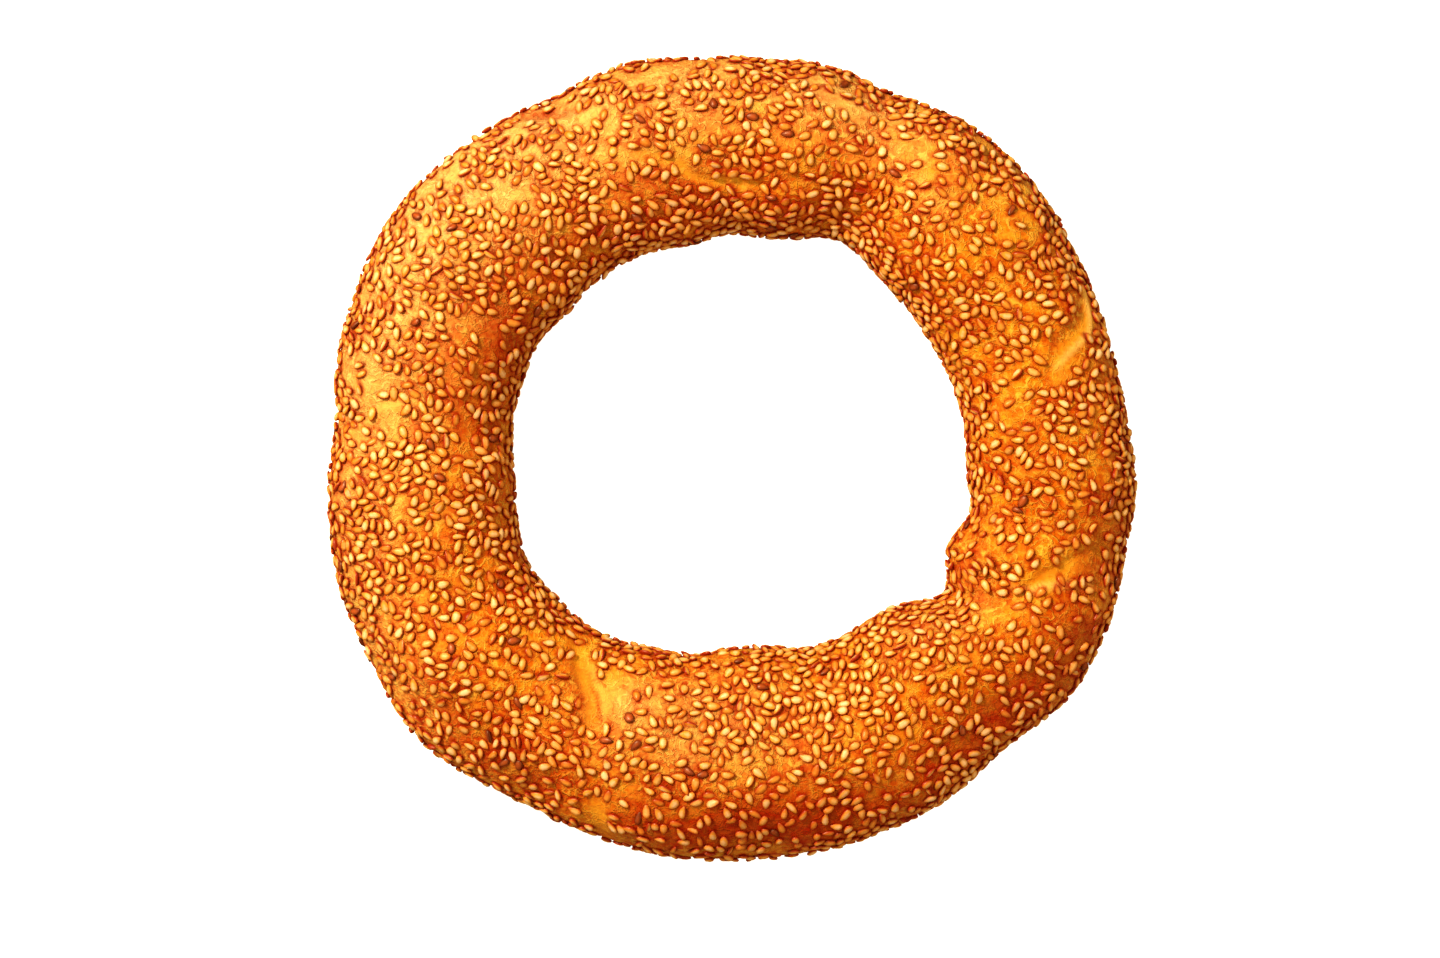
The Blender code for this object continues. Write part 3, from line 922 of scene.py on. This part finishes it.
def seedSyrupAndShadeRing():
    # 1 at a seed's outline and falling away from it, for the dark ring of painted shade and pooled syrup: stamped on
    # the few grid points round each seed
    place, long, short, up = seedFrames(seedI, seedJ, seedHeading)
    rows, columns = skin["side"].shape
    nearest = np.full((rows, columns), 9.0)
    reachI, reachJ = np.meshgrid(np.arange(-4, 6), np.arange(-4, 6), indexing="ij")
    i = (np.floor(seedI).astype(int)[:, None] + reachI.ravel()) % rows
    j = (np.floor(seedJ).astype(int)[:, None] + reachJ.ravel()) % columns
    offset = skin["points"][i, j] - place[:, None, :]
    a = (offset * long[:, None, :]).sum(2) / (seedShape["length"] / 2 * mm)
    b = (offset * short[:, None, :]).sum(2) / (seedShape["width"] / 2 * mm)
    np.minimum.at(nearest, (i, j), np.hypot(a, b))
    return nearest


def ringCrust():
    # the fine skin with a shallow rim of dough drawn up round each seed
    oval = seedSyrupAndShadeRing()
    # the dark ring round each seed: painted shade at its foot, and syrup pooled there
    syrupAndShadeRing = bell(np.clip(oval - 0.95, 0, None) / 0.32)
    drawn = 0.10 * mm * bell((oval - 1.1) / 0.35) * np.clip(skin["points"][..., 2] / (3 * mm), 0, 1)
    points = skin["points"] + skin["normals"] * drawn[..., None]
    rows, columns = syrupAndShadeRing.shape
    index = np.arange(rows * columns).reshape(rows, columns)
    nextRow = np.roll(index, -1, 0)
    quads = np.stack([index, nextRow, np.roll(nextRow, -1, 1), np.roll(index, -1, 1)], -1).reshape(-1, 4)

    # unrolled in four quarters, laid out two by two on the sheet
    quarter = rows // 4
    tile = np.arange(rows) // quarter
    u0 = (np.arange(rows) % quarter) / quarter
    v0 = np.arange(columns) / columns
    cornersU = u0[:, None, None] + np.array([0, 1, 1, 0]) / quarter + np.zeros((1, columns, 1))
    cornersV = v0[None, :, None] + np.array([0, 0, 1, 1]) / columns + np.zeros((rows, 1, 1))
    sheet = np.stack([(tile % 2)[:, None, None] + 0.015 + 0.97 * cornersU,
                      (tile // 2)[:, None, None] + 0.015 + 0.97 * cornersV], -1) / 2
    numbers = {
        "pale": np.max(zoneFields(paleZones), axis=0),
        "golden": skin["pale"],
        "ridge": skin["ridge"],
        "brown": skin["brown"],
        "syrupAndShadeRing": syrupAndShadeRing,
        "web": webNoise(skin["points"], crustSize["webSize"] * mm, 31),
    }
    crust = newPiece("ringCrust", points.reshape(-1, 3), [quads], crustMaterial(), [sheet], numbers)
    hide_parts("bread_ring")
    print("crust:", len(crust.data.polygons), "faces")


ringCrust()


# ---- floor, light and camera

studio = {
    "floorSide": 6.0,  # metres
    "floorColour": (0.93, 0.93, 0.93),
    "floorGlow": 1.0,
    "worldColour": (1.0, 0.88, 0.46),
    "worldStrength": 0.53,
    # place, size, power, colour
    "lamps": [
        ((-0.62, 0.62, 0.95), 0.28, 25.0, (1.0, 0.88, 0.53)),
        ((0.84, -0.26, 0.50), 0.80, 3.1, (1.0, 0.64, 0.24)),
        ((-0.80, -0.34, 0.42), 0.80, 2.2, (1.0, 0.70, 0.30)),
    ],
    "lens": 85,
    "viewWidth": 0.320,
    "aim": (-0.0026, -0.0046, 0.012),
}


def studioFloor():
    half = studio["floorSide"] / 2
    mesh = bpy.data.meshes.new("studioFloor")
    mesh.from_pydata([(-half, -half, 0), (half, -half, 0), (half, half, 0), (-half, half, 0)], [], [(0, 1, 2, 3)])
    floor = bpy.data.objects.new("studioFloor", mesh)
    bpy.context.scene.collection.objects.link(floor)
    material = bpy.data.materials.new("paleFloor")
    material.use_nodes = True
    shader = material.node_tree.nodes["Principled BSDF"]
    shader.inputs["Base Color"].default_value = studio["floorColour"] + (1,)
    shader.inputs["Roughness"].default_value = 0.9
    shader.inputs["Specular IOR Level"].default_value = 0.1
    shader.inputs["Emission Color"].default_value = (1, 1, 1, 1)
    shader.inputs["Emission Strength"].default_value = studio["floorGlow"]
    mesh.materials.append(material)
    floor.visible_diffuse = False  # so that it lights nothing and mirrors in nothing
    floor.visible_glossy = False


def studioLight():
    world = bpy.data.worlds.new("studioSky")
    bpy.context.scene.world = world
    world.use_nodes = True
    sky = world.node_tree.nodes["Background"]
    sky.inputs["Color"].default_value = studio["worldColour"] + (1,)
    sky.inputs["Strength"].default_value = studio["worldStrength"]
    world.cycles_visibility.glossy = False  # so that only the lamps gleam on the bread
    for number, (place, size, power, colour) in enumerate(studio["lamps"]):
        light = bpy.data.lights.new(f"softLamp{number}", "AREA")
        light.shape = "DISK"
        light.size = size
        light.energy = power
        light.color = colour
        lamp = bpy.data.objects.new(light.name, light)
        bpy.context.scene.collection.objects.link(lamp)
        lamp.location = place
        lamp.rotation_euler = Vector(place).to_track_quat("Z", "Y").to_euler()


def studioCamera():
    lens = bpy.data.cameras.new("overheadCamera")
    lens.lens = studio["lens"]
    lens.sensor_width = 36
    camera = bpy.data.objects.new("overheadCamera", lens)
    bpy.context.scene.collection.objects.link(camera)
    x, y, z = studio["aim"]
    camera.location = (x, y, z + studio["viewWidth"] * studio["lens"] / lens.sensor_width)
    bpy.context.scene.camera = camera


studioFloor()
studioLight()
studioCamera()
bpy.context.scene.view_settings.view_transform = "Standard"
print("studio ready")
